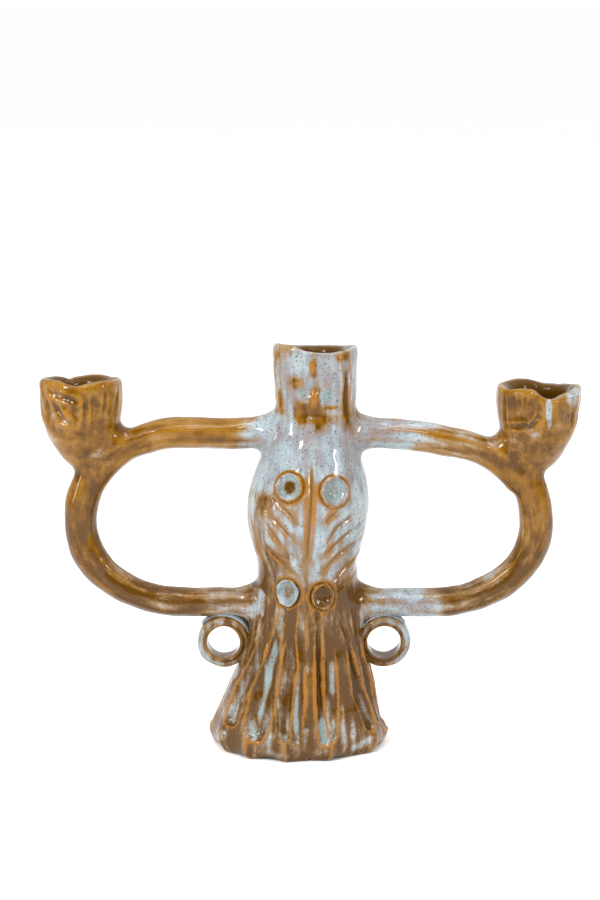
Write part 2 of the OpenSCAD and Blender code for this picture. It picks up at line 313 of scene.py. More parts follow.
class Skin:
    def __init__(self, mesh):
        self.mesh = mesh
        count = len(mesh.vertices)
        self.co = np.empty(count * 3)
        mesh.vertices.foreach_get("co", self.co)
        self.co = self.co.reshape(-1, 3)
        self.edges = np.empty(len(mesh.edges) * 2, int)
        mesh.edges.foreach_get("vertices", self.edges)
        self.edges = self.edges.reshape(-1, 2)
        self.degree = np.bincount(self.edges.ravel(), minlength=count)
        self.refresh()

    def refresh(self):
        self.mesh.vertices.foreach_set("co", self.co.ravel())
        self.mesh.update()
        no = np.empty(len(self.co) * 3)
        self.mesh.vertices.foreach_get("normal", no)
        self.no = no.reshape(-1, 3)

    def spreadOut(self, values):
        # the mean of each vertex's neighbours
        a, b = self.edges.T
        count = len(self.co)
        if values.ndim == 1:
            total = np.bincount(a, values[b], count) + np.bincount(b, values[a], count)
            return total / self.degree
        return np.stack([self.spreadOut(values[:, k]) for k in range(values.shape[1])], 1)

    def smooth(self, times, weight=1.0):
        weight = np.broadcast_to(np.asarray(weight, float), len(self.co))[:, None]
        for _ in range(times):
            self.co += 0.5 * weight * (self.spreadOut(self.co) - self.co)
        self.refresh()

    def push(self, amount):
        self.co += self.no * np.asarray(amount)[:, None]
        self.refresh()

    def near(self, x, z, radius):
        # 1 at a place, falling to 0 at radius millimetres from it
        d2 = (self.co[:, 0] - x * mm) ** 2 + (self.co[:, 2] - z * mm) ** 2
        return np.clip(1 - np.sqrt(d2) / (radius * mm), 0, 1)


skin = Skin(clayMesh())
print("clay skin", len(skin.co), "vertices")
skin.smooth(skinSettings["smooth"])
junctions = [(-21, upperZ, 17), (24, upperZ, 17), (-28, lowerZ, 16), (26, lowerZ, 16),
             (-94, 139, 25), (94, 136, 25)]
blend = np.zeros(len(skin.co))
for x, z, radius in junctions:
    blend = np.maximum(blend, skin.near(x, z, radius))
skin.smooth(70, np.clip(blend * 2, 0, 1))

# Scooped flutes that meet in crests: points (x, z) on the front, half widths from top to foot, depth
flutes = [
    ([(-19.6, 64), (-25.4, 45), (-31.6, 32), (-36.6, 18)], [1.8, 3.6, 4.8, 4.6], 3.4),
    ([(-14.5, 64), (-17.9, 45), (-21.5, 32), (-25.4, 15.5)], [1.4, 4.4, 6.6, 6.2], 3.9),
    ([(-8.2, 61), (-9.5, 45), (-11.5, 32), (-12.2, 13.5)], [1.6, 4.0, 3.9, 3.1], 3.3),
    ([(-3.5, 46), (-4.9, 32), (-6.6, 12)], [0.7, 2.7, 2.8], 2.0),
    ([(4.1, 66), (4.6, 45), (4.9, 30), (7.4, 11)], [0.9, 1.7, 2.0, 2.3], 3.6),
    ([(8.9, 55), (9.9, 34), (10.4, 13.5)], [2.7, 3.3, 3.5], 2.7),
    ([(18.0, 55), (20.3, 44), (22.8, 32), (29, 15)], [1.0, 2.3, 3.5, 3.3], 3.6),
    ([(22.4, 56), (25.2, 44), (28.2, 32), (33.4, 16.5)], [1.2, 2.6, 3.7, 3.6], 3.2),
]
sideFlutes = {"angles": [86, 105, 124, 143, 163, 182, 201, 221, 241, 261], "width": 5.3, "depth": 3.2}

# Leaf veins cut into the torso and the smaller cuts round them: points (x, z)
veins = [
    [(14.4, 121), (9.5, 117.5), (4.6, 112)],
    [(24.6, 119.5), (13, 112.5), (6.0, 102)],
    [(26, 113.5), (11.5, 103.5), (4.4, 96)],
    [(25.2, 105), (13.1, 98.3), (3.6, 88)],
    [(26, 98.4), (17.4, 91.4), (9.5, 84)],
    [(22, 87), (17, 83.5), (12.8, 80.5)],
    [(-16.4, 125.5), (-10, 120), (-3, 112)],
    [(-22, 120.5), (-13.5, 113), (-4.3, 103.5)],
    [(-22.6, 116), (-16.5, 108), (-10.2, 98.5)],
    [(-22, 103.8), (-13, 95.5), (-4.3, 87.5)],
    [(-27, 113), (-22.8, 98), (-19, 87)],
]
midrib = [(1.2, 149), (0.7, 126), (-0.5, 107), (-1.6, 87)]
# Half width, depth and lip of those cuts, and how far they are wiped bare
veinCut = (0.95, 1.15, 0.2, 0.95)
midribCut = (1.15, 1.3, 0.15, 1.3)
# Cuts that run on from the flutes up to the waist
waistCuts = [[(-11.2, 75), (-14.6, 61)], [(-2.4, 77), (-4.2, 60), (-3.6, 50)], [(13.4, 72), (17.9, 56)],
             [(-20.5, 77), (-21.8, 66)], [(20.4, 70), (22.2, 57)], [(3.2, 74), (4.0, 66)]]
footCorners = [-90, -68, -45, -12, 28, 66, 88, 112, 137, 160, 184, 207, 230, 252]
footNotch = {"angle": 11, "half": 2.6, "depth": 1.6}


def denser(points, between=6):
    # extra points along a path, so that it follows the curved front
    out = []
    for (x0, z0), (x1, z1) in zip(points, points[1:]):
        out += [(x0 + (x1 - x0) * i / between, z0 + (z1 - z0) * i / between) for i in range(between)]
    return out + [points[-1]]


def frontPath(points):
    return [frontPoint(x, z) for x, z in denser(points)]


def aroundPoint(angle, z):
    # a place on the trunk at an angle from the front, towards +X
    a = math.radians(angle)
    z = z * mm
    return (float(trunkLean(z) + trunkHalfWidth(z) * math.sin(a)), -float(trunkHalfDepth(z)) * math.cos(a), z)


def alongPath(co, points):
    # distance from each vertex to a path, and how far along it the nearest place is
    best = np.full(len(co), 1e9)
    where = np.zeros(len(co))
    points = np.asarray(points, float)
    steps = len(points) - 1
    for i in range(steps):
        a, run = points[i], points[i + 1] - points[i]
        t = np.clip((co - a) @ run / (run @ run), 0, 1)
        d = np.linalg.norm(co - (a + t[:, None] * run), axis=1)
        closer = d < best
        best[closer] = d[closer]
        where[closer] = (i + t[closer]) / steps
    return best, where


def closeTo(points, reach):
    points = np.asarray(points, float)
    low, high = points.min(0) - reach, points.max(0) + reach
    return np.nonzero(np.all((skin.co > low) & (skin.co < high), axis=1))[0]


def scoop(points, widths, depth):
    # a rounded gouge with round ends: how deep it cuts, and the thin crest along its edge
    cut = np.zeros(len(skin.co))
    crest = np.zeros(len(skin.co))
    hit = closeTo(points, max(widths) * 1.5 * mm)
    d, t = alongPath(skin.co[hit], points)
    u = d / (np.interp(t, np.linspace(0, 1, len(widths)), widths) * mm)
    fade = (0.5 + 0.5 * np.sin(math.pi * np.clip(t, 0.3, 0.75))) * np.clip(0.2 + 3 * t, 0, 1)
    cut[hit] = depth * mm * fade * np.clip(1 - u ** 2, 0, 1) ** 0.8
    crest[hit] = 0.5 * mm * fade * np.exp(-((u - 1.07) / 0.11) ** 2)
    return cut, crest


wiped = np.zeros(len(skin.co))


def groove(points, width, depth, lip, bare=0.0):
    # a narrow cut that throws up a soft lip on both sides, fades at its ends and shows the bare body
    amount = np.zeros(len(skin.co))
    hit = closeTo(points, width * 3.2 * mm)
    d, t = alongPath(skin.co[hit], points)
    u = d / (width * mm)
    fade = np.clip(np.sin(math.pi * np.clip(t, 0.03, 0.97)), 0, 1) ** 0.6
    amount[hit] = fade * mm * (lip * np.exp(-((u - 1.6) / 0.6) ** 2) - depth * np.exp(-u ** 2))
    wiped[hit] = np.maximum(wiped[hit], bare * fade * np.exp(-(u / 0.95) ** 2))
    return amount


def wobble(size, seed):
    offset = Vector((seed * 7.3, seed * 3.1, seed * 5.7))
    return np.array([noise.noise(Vector(c) / size + offset) for c in skin.co])


def angleFrom(x):
    # degrees round a vertical axis, 0 at the front and 90 towards +X
    return np.degrees(np.arctan2(skin.co[:, 0] - x, -skin.co[:, 1]))


def aroundTable(angle, table):
    keys = sorted(table)
    return np.interp(angle, keys, [table[k] for k in keys], period=360)


def carveTrunk():
    gouges = [(frontPath(path), widths, depth) for path, widths, depth in flutes]
    for i, a in enumerate(sideFlutes["angles"]):
        top = 57 + 6 * math.sin(2.3 * i)
        width = sideFlutes["width"] + 0.5 * math.sin(3.7 * i)
        bend = 2 * math.sin(1.7 * i)
        path = [aroundPoint(a + bend * (z - 36) / 24, z) for z in np.linspace(top, 13, 10)]
        gouges.append((path, [1.6, width * 0.8, width], sideFlutes["depth"] + 0.4 * math.sin(5.1 * i)))
    cut = np.zeros(len(skin.co))
    crest = np.zeros(len(skin.co))
    for gouge in gouges:
        deeper, higher = scoop(*gouge)
        cut = np.maximum(cut, deeper)
        crest = np.maximum(crest, higher)
    amount = crest * np.clip(1 - cut / (0.5 * mm), 0, 1) - cut
    for path in veins:
        amount += groove(frontPath(path), *veinCut)
    amount += groove(frontPath(midrib), *midribCut)
    for path in waistCuts:
        amount += groove(frontPath(path), 1.3, 1.0, 0.4)
    skin.push(amount)


def facetFoot():
    # the foot's outline runs straight from corner to corner
    angle = angleFrom(footLean) % 360
    corners = sorted(a % 360 for a in footCorners)
    corners = [corners[-1] - 360] + corners + [corners[0] + 360]
    side = np.searchsorted(corners, angle) - 1
    low = np.take(corners, side)
    high = np.take(corners, side + 1)
    half = np.radians(high - low) / 2
    off = np.radians(angle - (low + high) / 2)
    hollow = 1 - (off / half) ** 2
    chord = 1.012 * np.cos(half) / np.cos(off) - 0.022 * hollow
    z = skin.co[:, 2]
    outer = np.hypot(skin.co[:, 0] - footLean, skin.co[:, 1]) > footHalfDepth * 0.8
    mask = np.clip(1 - (z - 9 * mm) / (13 * mm), 0, 1) * (z < waistZ) * outer
    mask = mask * (np.abs(skin.co[:, 0]) < 60 * mm)
    notch = np.clip(1 - np.abs((angle - footNotch["angle"] + 180) % 360 - 180) / footNotch["half"], 0, 1)
    chord = chord - notch * footNotch["depth"] / 32 * np.clip(1 - z / (5 * mm), 0, 1)
    scale = 1 + (chord - 1) * mask
    lift = 1.1 * mm * hollow * (z < 5 * mm) * (1 - z / (5 * mm)) * (mask > 0)
    skin.co[:, 2] += lift * np.sin(3 * np.radians(angle)) ** 2
    skin.co[:, 0] = footLean + (skin.co[:, 0] - footLean) * scale
    skin.co[:, 1] *= scale
    skin.refresh()


# Height and radius of each lip round its axis, in millimetres at degrees from the front
lips = {
    "neck": {"x": neckLean, "rim": rimZ, "reach": 9,
             "height": {0: 0, 25: -0.6, 45: 0, 65: 0.9, 90: 0.8, 120: -0.6, 150: -1.8, 180: -2.0, 210: -1.8,
                        240: -0.2, 270: 1.6, 300: 2.5, 325: 2.7, 340: 0.9},
             "radius": {0: 0.1, 30: 0.3, 50: 1.5, 80: 1.2, 120: 0.4, 180: 0, 240: 0.7, 285: 1.2, 308: 1.8,
                        335: 0.2}},
    "left": {"x": cupAxis(cups["left"])[0], "rim": cupAxis(cups["left"])[1], "reach": 8,
             "height": {0: 0, 24: 1.1, 48: 2.0, 75: 1.0, 110: 0, 125: -0.8, 150: -0.5, 180: -1.0, 197: -1.6,
                        206: -2.6, 216: -1.4, 230: -0.4, 270: 0.6, 300: 1.8, 330: 2.0, 345: 0.8},
             "radius": {0: 0.2, 22: -0.7, 48: 1.0, 75: 0.3, 100: 0.6, 150: -0.2, 190: -0.6, 206: -1.8,
                        220: 0.4, 250: 0.2, 280: 0.3, 308: 1.1, 325: -0.9, 340: 0.3}},
    "right": {"x": cupAxis(cups["right"])[0], "rim": cupAxis(cups["right"])[1], "reach": 9,
              "height": {0: -2.8, 8: -3.8, 18: -4.0, 30: -3.3, 45: -2.2, 60: -0.8, 75: 0.6, 110: -0.9,
                         135: -2.2, 165: -2.0, 190: -0.6, 225: -0.6, 285: -0.3, 303: -0.4,
                         320: 0.4, 345: 0.7, 352: -0.6},
              "radius": {0: 0.6, 20: 0.9, 40: -0.2, 60: 1.2, 95: 0.8, 140: -1.0, 160: -1.6, 180: 0.4,
                         230: 0.5, 270: 0.4, 300: 1.0, 318: -1.2, 340: -0.7}},
}

# Creases pressed into the walls of the cups: points (degrees from the front, drop below the rim),
# half width, depth and lip
creases = {
    "left": [
        ([(-55, 1), (-51, 8), (-52, 17)], 1.5, 1.0, 0.7), ([(-48, 2.5), (-18, 5.5), (0, 7)], 1.3, 0.9, 0.8),
        ([(10, 2), (13, 12), (9, 20)], 1.2, 0.7, 0.6), ([(-36, 10), (-20, 16), (-6, 17)], 1.7, 1.2, 0.7),
        ([(42, 2), (40, 14)], 0.9, 0.5, 0.4), ([(-4, 10), (-3, 16)], 1.9, 0.8, 0.4),
        ([(66, 3), (60, 20)], 1.4, 0.8, 0.5),
        ([(120, 2), (128, 16)], 1.6, 0.9, 0.6), ([(200, 3), (190, 18)], 1.8, 1.1, 0.6),
        ([(-100, 3), (-96, 20)], 1.5, 0.9, 0.5),
    ],
    "right": [
        ([(-60, 1), (-60, 10), (-59, 20)], 0.9, 0.5, 0.8),
        ([(-3, 7), (-4, 13), (-17, 17.5), (-40, 17.5), (-60, 19)], 1.2, 0.55, 0.75),
        ([(-45, 2), (-44, 8)], 0.8, 0.45, 0.3), ([(-36, 2), (-36, 9)], 0.8, 0.4, 0.3),
        ([(-27, 3), (-28, 8)], 0.8, 0.4, 0.3),
        ([(4, 4), (10, 8)], 1.5, 0.6, 0.5), ([(57, 1), (55, 9), (58, 17)], 1.3, 0.9, 0.8),
        ([(88, 1), (84, 13)], 1.2, 0.7, 0.6),
        ([(140, 2), (150, 18)], 1.8, 1.0, 0.6), ([(210, 3), (200, 20)], 1.6, 0.9, 0.6),
        ([(-105, 3), (-110, 16)], 1.5, 0.8, 0.5),
    ],
}


def cupPoints(side, places):
    # places on a cup's wall, moved to the nearest clay
    x, rim = cupAxis(cups[side])
    drops, radii = [d for _, d in cupOutside][::-1], [r for r, _ in cupOutside][::-1]
    found = []
    for angle, drop in denser(places, 5):
        r = np.interp(drop, drops, radii) * mm
        a = math.radians(angle)
        near = skin.co - np.array((x + r * math.sin(a), -r * math.cos(a), rim - drop * mm))
        found.append(skin.co[np.argmin((near * near).sum(1))].copy())
    return np.array(found)


def creaseCups():
    amount = np.zeros(len(skin.co))
    for side, cuts in creases.items():
        for places, width, depth, lip in cuts:
            amount += groove(cupPoints(side, places), width, depth, lip)
    skin.push(amount)


def shapeLip(lip):
    angle = angleFrom(lip["x"])
    x, y, z = skin.co.T
    away = np.hypot(x - lip["x"], y)
    near = (away < 26 * mm) & (z > lip["rim"] - 30 * mm)
    drop = (lip["rim"] - z) / mm
    mask = np.clip(1 - drop / lip["reach"], 0, 1) ** 1.5 * near
    deep = np.clip(1 - drop / 26, 0, 1) ** 0.8 * near * (away > 10 * mm)
    skin.co[:, 2] += aroundTable(angle, lip["height"]) * mask * mm
    move = aroundTable(angle, lip["radius"]) * deep
    # the wall thickens inwards at the lip
    thicker = 1.9 * np.clip((boreR + 4.0 * mm - away) / (2 * mm), 0, 1) * np.clip(1 - drop / 9, 0, 1)
    move -= thicker * near * (away > 9 * mm)
    scale = 1 + move * mm / np.maximum(away, 10 * mm)
    skin.co[:, 0] = lip["x"] + (x - lip["x"]) * scale
    skin.co[:, 1] = y * scale
    skin.refresh()


# Dents and pinches: centre (x, y, z), radius and how far the clay moves
dents = [
    (-121, -14, 163, 9, -1.3), (-111, -18, 158, 8, 0.9), (-98, -18, 166, 7, -1.1), (-93, -15, 160, 9, -0.8),
    (-117, -12, 171, 6, 0.8), (-104, -19, 169, 5, 0.5), (-116, 13, 160, 10, -1.0), (-95, 16, 162, 9, 0.7),
    (97, -15, 163, 11, -1.5), (106, -19, 158, 6, 0.9), (112, -17, 164, 7, 0.5), (121, -10, 160, 8, -0.9),
    (122, 4, 166, 8, 0.7), (110, 18, 160, 10, -0.9), (93, 12, 158, 8, 0.6),
]


def dentClay():
    amount = np.zeros(len(skin.co))
    for x, y, z, radius, move in dents:
        d = np.linalg.norm(skin.co - np.array((x, y, z)) * mm, axis=1) / (radius * mm)
        amount += move * mm * np.clip(1 - d ** 2, 0, 1) ** 2
    skin.push(amount)


neck = {"panelY": -16.7, "bumps": [
    # small pinched bumps on the front panel: x, z, half width, half height, rise
    (1.3, 184.5, 2.2, 4.0, 1.2), (2.0, 170.5, 2.9, 4.8, 2.2), (-5.0, 177.0, 3.4, 2.6, 0.7),
    (8.4, 177.5, 3.0, 2.6, 0.7),
    (-9.5, 186, 3.0, 5.0, 0.6), (13.5, 184, 2.6, 5.5, 0.7)],
    "hollows": [(-4.6, 172.5, 2.8, 3.4, 1.2), (8.2, 172.0, 2.8, 3.2, 1.2), (2.2, 163.0, 5.5, 1.7, 0.9),
                (-9.0, 166, 2.4, 5, 0.6)],
    "folds": [[(-12.6, 192), (-13.6, 180), (-12.8, 166)], [(15.2, 191), (16.6, 178), (16.0, 163)]]}


def shapeNeck():
    x, y, z = skin.co.T
    over = (z > shoulderZ - 2 * mm) & (y < neck["panelY"] * mm) & (np.abs(x - neckLean) < 22 * mm)
    fade = np.clip((z - shoulderZ + 2 * mm) / (10 * mm), 0, 1)
    skin.co[:, 1] = np.where(over, y + (neck["panelY"] * mm - y) * 0.7 * fade, y)
    skin.refresh()
    amount = np.zeros(len(skin.co))
    front = (y < -8 * mm) & (np.abs(x - neckLean) < 20 * mm)
    for sign, marks in ((1, neck["bumps"]), (-1, neck["hollows"])):
        for bx, bz, wide, tall, rise in marks:
            d2 = ((x / mm - bx) / wide) ** 2 + ((z / mm - bz) / tall) ** 2
            amount += sign * rise * mm * np.exp(-d2 * 1.3) * front
    for fold in neck["folds"]:
        amount += groove(frontPath(fold), 1.5, 1.0, 0.7)
    skin.push(amount)


# Ridges along the arms, where the coils were squared up between finger and thumb

ridges = {"angles": [28, -38, 152, 218], "rise": 0.5, "spread": 14, "flat": 0.25}


runStretch = 0.14    # how far the glaze's runs are drawn out along their way
flow = skin.co * np.array((1, 1, runStretch))
armShare = np.zeros(len(skin.co))


def squareCoils():
    x, y, z = skin.co.T
    for arm in arms.values():
        side = arm["side"]
        for path in (lowerPath(arm), upperPath(arm)):
            line = np.array([(side * s[0] * mm, 0, s[1] * mm) for s in path])
            hit = np.nonzero((side * x > 20 * mm) & (np.abs(y) < 14 * mm))[0]
            flat = skin.co[hit].copy()
            flat[:, 1] = 0
            d, where = alongPath(flat, line)
            away = np.hypot(d, y[hit])
            on = np.clip((10.5 * mm - away) / (1.5 * mm), 0, 1)
            on *= np.clip((side * x[hit] - 30 * mm) / (10 * mm), 0, 1) * np.clip((0.93 - where) / 0.1, 0, 1)
            centre = np.array([np.interp(where, np.linspace(0, 1, len(line)), line[:, k]) for k in (0, 2)]).T
            loop = np.array((side * 66 * mm, upperZ * 0.5 * mm + lowerZ * 0.5 * mm))
            outward = np.sign(((flat[:, [0, 2]] - centre) * (centre - loop)).sum(1))
            phi = np.degrees(np.arctan2(outward * d, -y[hit]))
            share = np.clip((14 * mm - away) / (4 * mm), 0, 1)
            share = share * np.clip((side * x[hit] - 21 * mm) / (9 * mm), 0, 1)
            share *= np.clip((0.95 - where) / 0.1, 0, 1)
            closer = share > armShare[hit]
            length = np.linalg.norm(np.diff(line, axis=0), axis=1).sum()
            flow[hit[closer]] = np.stack([outward * d, y[hit], where * length * runStretch], 1)[closer]
            armShare[hit[closer]] = share[closer]
            lift = np.zeros(len(hit))
            for a in ridges["angles"]:
                off = (phi - a + 180) % 360 - 180
                lift += ridges["rise"] * np.exp(-(off / ridges["spread"]) ** 2)
            amount = np.zeros(len(skin.co))
            amount[hit] = (lift - ridges["flat"]) * on * mm
            skin.push(amount)


squareCoils()
carveTrunk()
shapeNeck()
dentClay()
for lip in lips.values():
    shapeLip(lip)
creaseCups()
facetFoot()
skin.push(mm * (0.55 * wobble(22 * mm, 1) + 0.36 * wobble(9 * mm, 2) + 0.09 * wobble(3.4 * mm, 3)))
skin.co[:, 2] = np.maximum(skin.co[:, 2], 0)
skin.smooth(1)
print("carving done")

discs = {
    # blue is how much lies in the dish, on the rim and in the middle of the dish
    "left_chest_disc": {"radius": 6.5, "narrow": 1.0, "seed": 1, "blue": (0.85, 0.12, 0.1)},
    "right_chest_disc": {"radius": 6.7, "narrow": 1.0, "seed": 2, "blue": (0.8, 0.5, 0.55)},
    "left_waist_disc": {"radius": 6.4, "narrow": 0.8, "seed": 3, "blue": (0.8, 0.5, 0.45)},
    "right_waist_disc": {"radius": 6.3, "narrow": 0.84, "seed": 4, "blue": (0.28, 0.05, 0.05)},
}
# A disc's outline in parts of its radius and millimetres: bowl, rolled rim and hidden underside
discBowl = [(0, -1.75), (0.3, -1.7), (0.55, -1.25), (0.7, -0.55), (0.78, 0.1), (0.85, 0.75), (0.92, 1.0),
            (1.0, 0.85), (1.06, 0.2), (1.06, -0.9), (1.0, -1.8), (0.8, -2.4), (0, -2.6)]


def discFrame(node):
    low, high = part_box(node)
    x, z = (low.x + high.x) / 2 / mm, (low.z + high.z) / 2 / mm
    centre = Vector(frontPoint(x, z))
    across = Vector(frontPoint(x + 4, z)) - Vector(frontPoint(x - 4, z))
    up = Vector(frontPoint(x, z + 4)) - Vector(frontPoint(x, z - 4))
    out = across.cross(up).normalized()
    up = (up - out * up.dot(out)).normalized()
    turn = Matrix((up.cross(out), up, out)).transposed().to_4x4()
    return Matrix.Translation(centre) @ turn


def pressSeats():
    for node, disc in discs.items():
        place = discFrame(node)
        centre, out = np.array(place.translation), np.array(place.col[2][:3])
        rel = skin.co - centre
        h = rel @ out
        d = np.linalg.norm(rel - h[:, None] * out, axis=1) / (disc["radius"] * mm)
        d = np.where(np.abs(h) < 5 * mm, d, 9)
        seat = np.clip((0.98 - d) / 0.14, 0, 1)
        skin.co += ((np.minimum(h, -2.3 * mm) - h) * seat)[:, None] * out
    skin.refresh()


pressSeats()

blueAndSheenSpots = [
    # x, y, z of the middle, reach along each, and how much blue it adds (in millimetres)
    (2.8, 0, 180, 26, 26, 24, 0.80), (1, 0, 140, 34, 34, 26, 0.82), (3, 0, 112, 34, 36, 24, 0.82),
    (-6, 0, 92, 26, 40, 12, 0.54), (9, 0, 92, 26, 40, 12, 0.62), (-2, 0, 60, 24, 36, 16, 0.18),
    (-22, -2, 147, 13, 14, 9, 0.62), (-38, 0, 146, 14, 10, 5, 0.3), (33, 0, 152, 27, 12, 11, 0.68),
    (-37, 0, 70, 18, 14, 9, 0.36), (42, 0, 69, 24, 14, 9, 0.70),
    (-28, 0, 24, 18, 40, 34, 0.26), (14, -30, 12, 20, 14, 9, 0.24), (-14, -30, 8, 18, 14, 7, 0.34),
    # the spot at x -96, z 138, where the lower left arm meets its cup, is a painted highlight: pale where
    # light catches the top of the arm
    (121, 4, 170, 8, 16, 7, 0.62), (114, 12, 172, 8, 8, 6, 0.55), (-96, -10, 138, 8, 12, 8, 0.2),
    (100, 0, 152, 12, 20, 10, 0.26), (70, 0, 145, 26, 12, 10, 0.3),
    (-70, 0, 72, 20, 12, 11, 0.18), (80, 0, 78, 16, 12, 12, 0.22),
]


# Pale runs down the flutes: points (x, z), half width in millimetres and amount
blueRuns = [
    ([(-15.4, 58), (-17.6, 45), (-20.6, 30), (-24.4, 14)], 1.3, 0.72),
    ([(-5.0, 47), (-6.3, 25), (-6.4, 12)], 1.0, 0.7),
    ([(-9.3, 26), (-10.6, 14)], 1.2, 0.5), ([(10.6, 50), (11.0, 30)], 1.6, 0.55),
    ([(22.5, 31), (29, 14)], 1.0, 0.5),
    ([(-26, 46), (-30, 33), (-33, 22)], 1.5, 0.5), ([(-36, 24), (-41, 15)], 1.4, 0.62),
    ([(32.5, 26), (36.5, 16)], 1.6, 0.5),
    ([(5.6, 22), (7.0, 12), (10, 8)], 1.3, 0.6), ([(-1.6, 18), (-1.9, 9)], 1.6, 0.5),
    ([(30, 9), (24, 6), (18, 5)], 1.8, 0.5),
    ([(-22, 5.5), (-14, 4), (-8, 4)], 2.0, 0.55), ([(1.6, 7), (4, 3)], 2.4, 0.42),
    ([(-40, 12), (-42.5, 6)], 2.4, 0.55),
    ([(-12.6, 75), (-13.8, 64), (-12.2, 56)], 1.6, 0.5), ([(-22.5, 80), (-25.6, 66)], 3.0, 0.62),
    ([(23.6, 72), (25.4, 58)], 2.0, 0.4),
]


# and on the right cup: degrees from the front, drop, half width and amount; the last is a painted highlight,
# a pale streak along the lip of the curved crease
cupRunsAndSheen = [([(9, 1.5), (9, 10), (13, 19)], 1.0, 0.8), ([(36, 5), (58, 4.5), (78, 4)], 3.0, 0.5),
           ([(-2, 8), (-5, 13), (-22, 16), (-50, 17)], 0.6, 0.3)]


# Bare brown places on the front: x, z, reach across and up in millimetres, and how much blue they take
brownSpots = [
    (1.5, 184.5, 1.9, 4.2, 0.9), (2.0, 170, 2.3, 5.0, 1.0), (0.6, 165.8, 4.2, 2.2, 0.8),
    (-3.8, 163, 2.2, 4.2, 0.8),
    (4.0, 161, 2.2, 3.6, 0.7), (-6.2, 178, 3.0, 3.2, 0.55), (5.0, 175, 1.3, 2.8, 0.5),
    (-13.4, 169, 1.3, 6, 0.9),
    (16.4, 172, 1.5, 10, 0.75), (14.5, 189, 2.4, 1.8, 0.6), (9.6, 166.2, 3.4, 0.8, 0.6),
    (-15.0, 189, 1.2, 2.4, 0.6),
    (-21, 120, 4, 6, 0.22), (-15, 95, 7, 8, 0.16), (12, 84, 8, 4, 0.16), (-20, 87, 5, 7, 0.3),
]


cupRunAndSheenPoints = [(cupPoints("right", places), reach, amount) for places, reach, amount in cupRunsAndSheen]


def blueAndSheenAt(co):
    total = np.full(len(co), 0.06)
    for x, y, z, rx, ry, rz, amount in blueAndSheenSpots:
        d2 = ((co[:, 0] / mm - x) / rx) ** 2 + ((co[:, 1] / mm - y) / ry) ** 2
        d2 = d2 + ((co[:, 2] / mm - z) / rz) ** 2
        total = np.maximum(total, amount * np.clip(1.55 - d2, 0, 1))
    flat = co * np.array((1, 0, 1))
    runs = [(flat, co[:, 1] < 0, [(x * mm, 0, z * mm) for x, z in path], reach, amount)
            for path, reach, amount in blueRuns]
    runs += [(co, co[:, 0] > 80 * mm, points, reach, amount) for points, reach, amount in cupRunAndSheenPoints]
    for places, where, points, reach, amount in runs:
        points = np.array(points)
        inBox = np.all((places > points.min(0) - 6 * mm) & (places < points.max(0) + 6 * mm), axis=1)
        hit = np.nonzero(inBox & where)[0]
        if len(hit):
            d, t = alongPath(places[hit], points)
            ends = np.clip(0.3 + 4 * np.minimum(t, 1 - t), 0, 1)
            total[hit] = np.maximum(total[hit], amount * ends * np.exp(-(d / (reach * 1.3 * ends * mm)) ** 2))
    for x, z, rx, rz, amount in brownSpots:
        d2 = ((co[:, 0] / mm - x) / rx) ** 2 + ((co[:, 2] / mm - z) / rz) ** 2
        total -= amount * np.exp(-d2) * (co[:, 1] < 0)
    return total


def socketDepth(co, no):
    # 0 outside, rising to 1 down inside a socket or up inside the hollow trunk
    x, y, z = co.T
    deep = np.zeros(len(co))
    for lip in lips.values():
        away = np.hypot(x - lip["x"], y)
        facing = (no[:, 0] * (x - lip["x"]) + no[:, 1] * y) / np.maximum(away, mm)
        angle = np.degrees(np.arctan2(x - lip["x"], -y))
        drop = lip["rim"] + aroundTable(angle, lip["height"]) * mm - z
        inside = (lip["rim"] - z < 28.6 * mm) & (away < 17 * mm)
        inward = np.clip((0.05 - facing) / 0.4, 0, 1)
        deep = np.maximum(deep, inside * inward * np.clip((drop + 0.6 * mm) / (1.4 * mm), 0, 1))
    half = np.hypot((x - trunkLean(z)) / trunkHalfWidth(z), y / trunkHalfDepth(z))
    hollow = (half < 1 - 5.3 * mm / trunkHalfWidth(z)) & (z < shoulderZ - 3 * mm)
    return np.maximum(deep, hollow)


def addMark(mesh, name, values):
    mark = mesh.attributes.new(name, "FLOAT", "POINT")
    mark.data.foreach_set("value", np.asarray(values, np.float32))


def markGlaze(body, fine=3, broad=30, fineRange=0.075, broadRange=0.6):
    # convex places break to rust and concave ones pool
    soft = body.co.copy()
    relief = []
    for count in (fine, broad):
        for _ in range(count):
            soft += 0.5 * (body.spreadOut(soft) - soft)
        height = ((body.co - soft) * body.no).sum(1) / mm
        for _ in range(2):
            height = 0.4 * height + 0.6 * body.spreadOut(height)
        relief.append(height)
    deep = socketDepth(body.co, body.no)
    calm = np.ones(len(body.co))
    for lip in lips.values():
        away = np.hypot(body.co[:, 0] - lip["x"], body.co[:, 1])
        calm[(away < 24 * mm) & (body.co[:, 2] > lip["rim"] - 4 * mm)] = 0.4
    addMark(body.mesh, "blueAndSheenAmount", blueAndSheenAt(body.co))
    addMark(body.mesh, "edgeBreak", np.clip(relief[0] / fineRange, -1, 1) * calm * (1 - deep))
    addMark(body.mesh, "pooling", np.clip(-relief[1] / broadRange, -1, 1) * (1 - deep))
    # socket depth, used to paint shade inside the sockets
    addMark(body.mesh, "socketShadeDepth", deep)


def markWiped():
    for node, disc in discs.items():
        place = discFrame(node)
        d = np.linalg.norm(skin.co - np.array(place.translation), axis=1) / (disc["radius"] * mm)
        np.maximum(wiped, 1.1 * np.exp(-((d - 1.06) / 0.17) ** 2), out=wiped)
    addMark(skin.mesh, "wiped", wiped)
    addMark(skin.mesh, "armShare", armShare)
    run = skin.mesh.attributes.new("flow", "FLOAT_VECTOR", "POINT")
    run.data.foreach_set("vector", flow.astype(np.float32).ravel())


